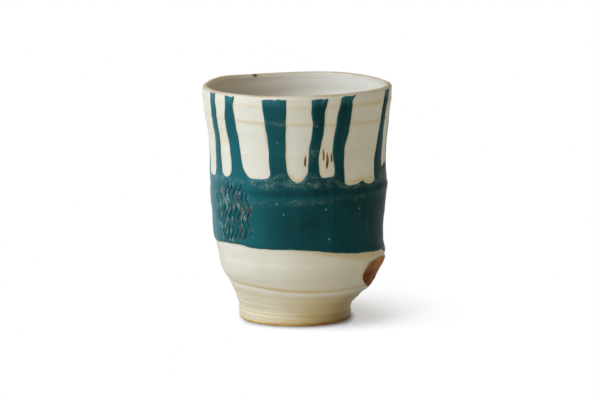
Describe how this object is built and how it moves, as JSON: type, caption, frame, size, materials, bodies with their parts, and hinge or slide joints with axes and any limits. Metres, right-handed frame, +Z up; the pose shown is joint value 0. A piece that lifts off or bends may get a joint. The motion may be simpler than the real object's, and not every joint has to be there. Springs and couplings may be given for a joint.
{
  "type": "ceramic cup",
  "caption": "Tall handle-less stoneware cup with a turned foot, a cream glaze, a teal band with runs up to the lip and a bare clay finger mark.",
  "frame": {"origin": "centre of the foot ring's resting face, on the wheel's axis, at table level", "axes": "+Z up along the wheel's axis to the lip, -Y to the front of the picture, +X to the picture's right"},
  "size_m": [0.0801, 0.0806, 0.1],
  "materials": {
    "clay": "bare reddish-brown fired stoneware, matt and slightly gritty",
    "foot_clay": "bare toasted stoneware, matt, tan to orange at the edge of the glaze",
    "cream_glaze": "cream satin glaze, tan where it breaks thin over ridges and beside the teal",
    "liner_glaze": "grey-white satin liner glaze",
    "lip_glaze": "tan satin glaze, thin over the lip",
    "teal_glaze": "deep teal semi-gloss glaze with pale speckles",
    "iron": "dark brown iron marks, satin"
  },
  "bodies": {
    "root": {"clay_body": "clay", "foot_ring": "foot_clay", "liner_glaze": "liner_glaze", "cream_glaze": "cream_glaze", "lip_glaze": "lip_glaze", "teal_band": "teal_glaze", "teal_runs": "teal_glaze", "iron_marks": "iron"}
  },
  "joints": []
}
